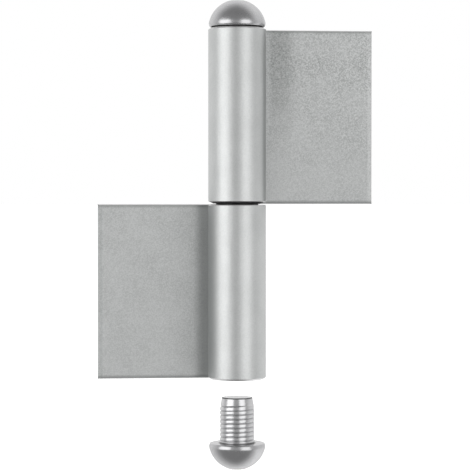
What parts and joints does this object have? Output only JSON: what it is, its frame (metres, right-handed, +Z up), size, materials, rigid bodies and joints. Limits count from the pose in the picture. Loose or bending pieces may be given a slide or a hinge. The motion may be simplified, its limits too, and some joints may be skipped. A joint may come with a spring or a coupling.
{
  "type": "lift off hinge",
  "caption": "Weld-on lift off hinge: round knuckles with plain flat leaves on opposite sides, an inner pin, and domed cap screws, the lower one drawn out.",
  "frame": {"origin": "on the swing axis, halfway between the crowns of the two cap screws with the lower one drawn out", "axes": "+Z up along the swing axis, the way the upper half lifts off; +Y towards the weld side, out of the backs of both leaves; +X along the upper leaf"},
  "size_m": [0.095, 0.0198, 0.1606],
  "materials": {
    "drawn_steel": "bright drawn bar, satin, with a faint grain",
    "ground_steel": "ground",
    "dark_steel": "blackened and oiled",
    "bright_steel": "turned bright, polished dome"
  },
  "bodies": {
    "lower_half": {"lower_leaf": "drawn_steel", "hinge_pin": "ground_steel"},
    "washer": {"thrust_washer": "dark_steel"},
    "upper_half": {"upper_leaf": "drawn_steel"},
    "top_cap": {"top_cap": "bright_steel"},
    "bottom_cap": {"bottom_cap": "bright_steel"}
  },
  "joints": [
    {"name": "swing", "type": "hinge", "parent": "lower_half", "child": "washer", "pos_m": [0, 0, 0.01057], "axis": [0, 0, 1], "continuous": true},
    {"name": "lift_off", "type": "slide", "parent": "washer", "child": "upper_half", "axis": [0, 0, 1], "range_m": [0, 0.048]},
    {"name": "top_cap_unscrew", "type": "slide", "parent": "upper_half", "child": "top_cap", "axis": [0, 0, 1], "range_m": [0, 0.02165]},
    {"name": "bottom_cap_screw_in", "type": "slide", "parent": "lower_half", "child": "bottom_cap", "axis": [0, 0, 1], "range_m": [0, 0.02165]}
  ]
}
